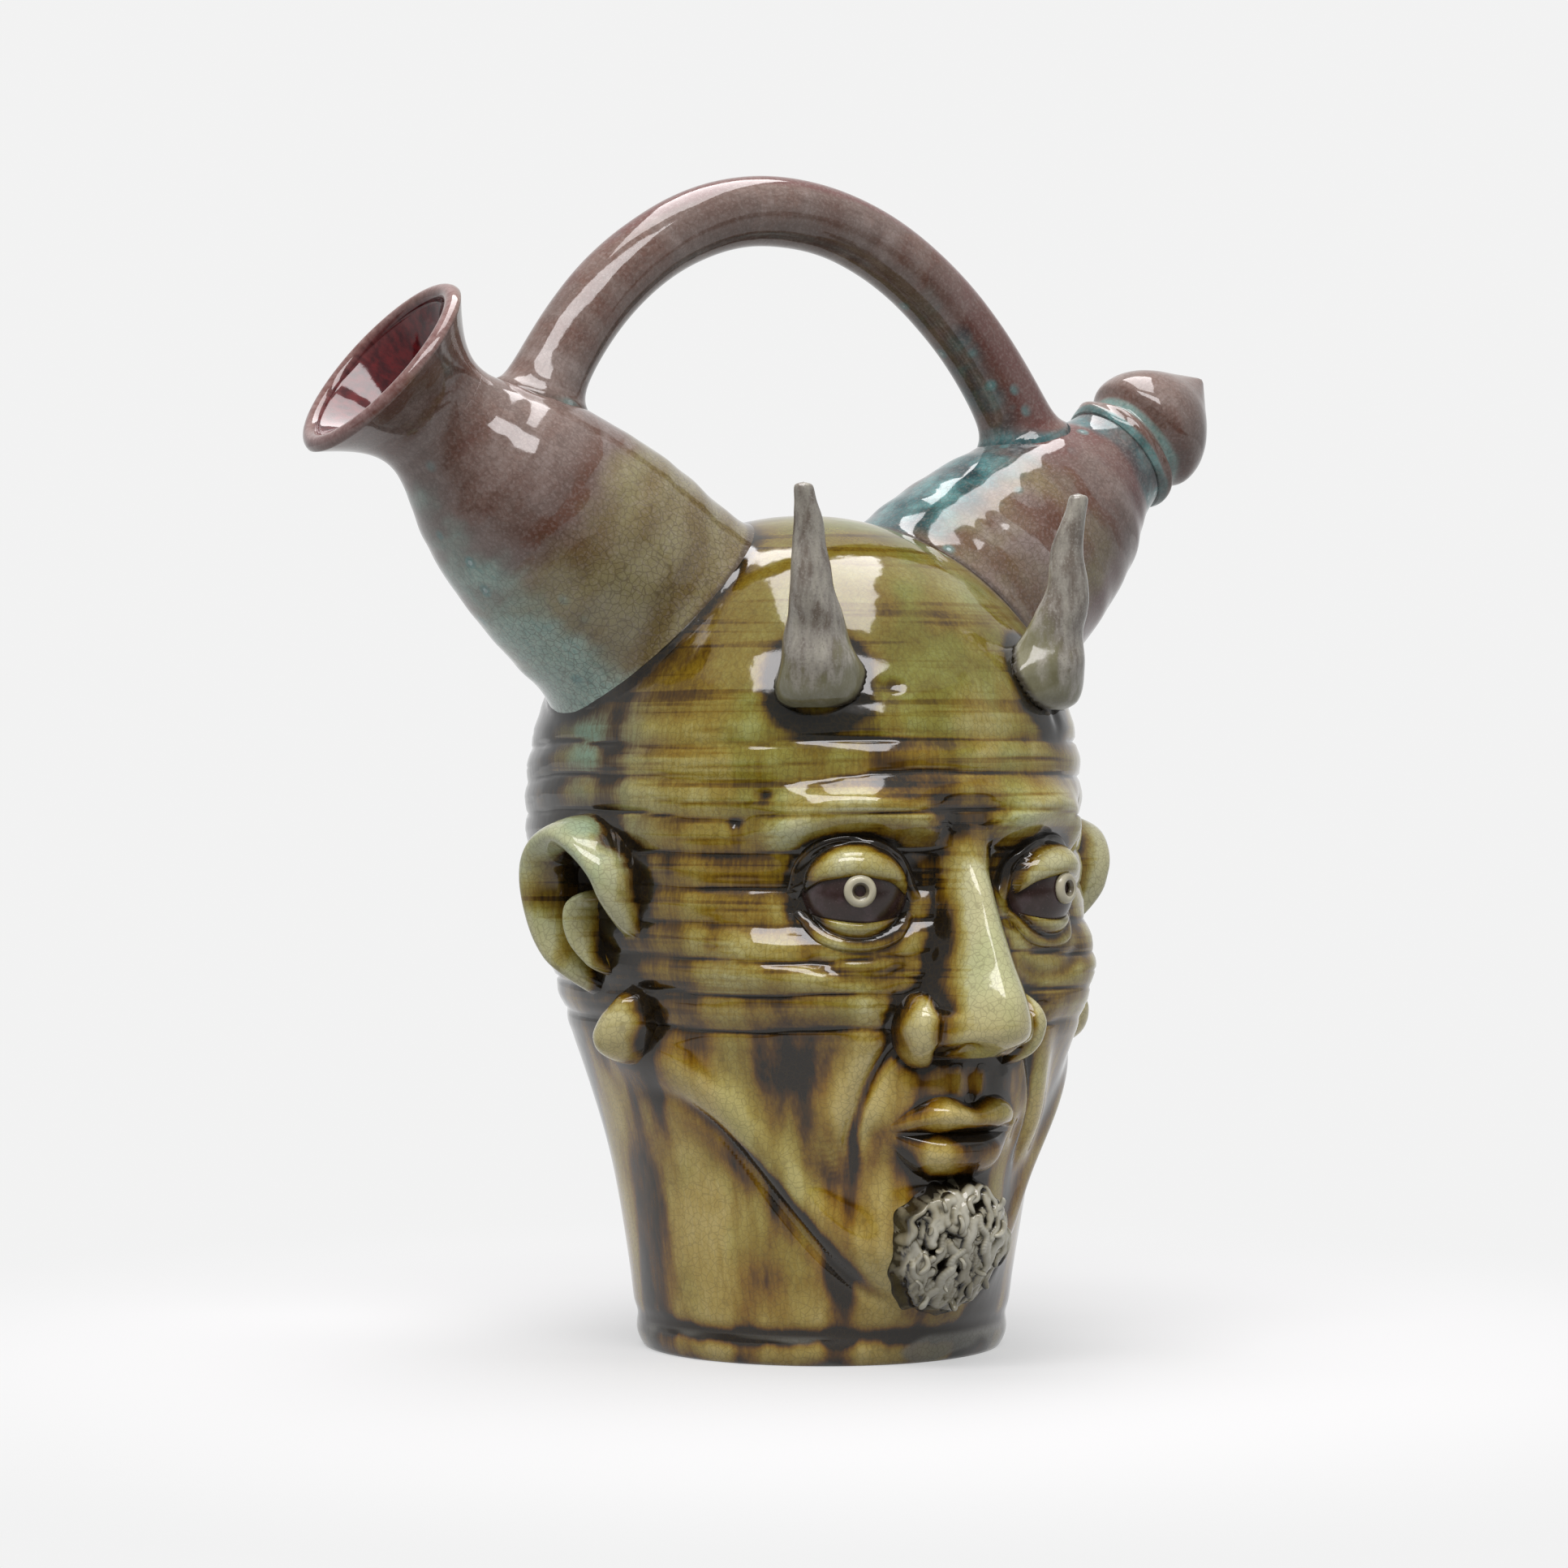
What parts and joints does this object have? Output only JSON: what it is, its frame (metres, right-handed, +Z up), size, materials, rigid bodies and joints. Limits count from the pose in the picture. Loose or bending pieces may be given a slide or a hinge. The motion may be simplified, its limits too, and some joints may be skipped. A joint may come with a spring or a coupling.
{
  "type": "face jug",
  "caption": "Glazed stoneware head jug with two hollow horns, one open for pouring, joined by a stirrup handle.",
  "frame": {"origin": "centre of the foot's underside", "axes": "+Z up, face towards -Y, pouring horn on -X, closed horn on +X"},
  "size_m": [0.3521, 0.2409, 0.4],
  "materials": {
    "olive_glaze": "gloss",
    "mauve_glaze": "gloss",
    "oxblood_glaze": "gloss",
    "aubergine_glaze": "gloss",
    "cream_slip": "satin",
    "dark_olive_glaze": "gloss",
    "grey_clay": "satin"
  },
  "bodies": {
    "root": {"head_vessel": "olive_glaze", "spout_horn": "mauve_glaze", "spout_collar": "oxblood_glaze", "closed_horn": "mauve_glaze", "horn_finial": "mauve_glaze", "handle": "mauve_glaze", "brow_horn_right": "grey_clay", "brow_horn_left": "grey_clay", "eyeball_right": "aubergine_glaze", "eyeball_left": "aubergine_glaze", "iris_right": "cream_slip", "iris_left": "cream_slip", "upper_lid_right": "dark_olive_glaze", "upper_lid_left": "dark_olive_glaze", "lower_lid_right": "dark_olive_glaze", "lower_lid_left": "dark_olive_glaze", "nose": "olive_glaze", "nostril_right": "olive_glaze", "nostril_left": "olive_glaze", "upper_lip": "olive_glaze", "lower_lip": "olive_glaze", "ear_right": "olive_glaze", "ear_left": "olive_glaze", "ear_fold_right": "olive_glaze", "ear_fold_left": "olive_glaze", "ear_lobe_right": "olive_glaze", "ear_lobe_left": "olive_glaze", "goatee": "cream_slip"}
  },
  "joints": []
}
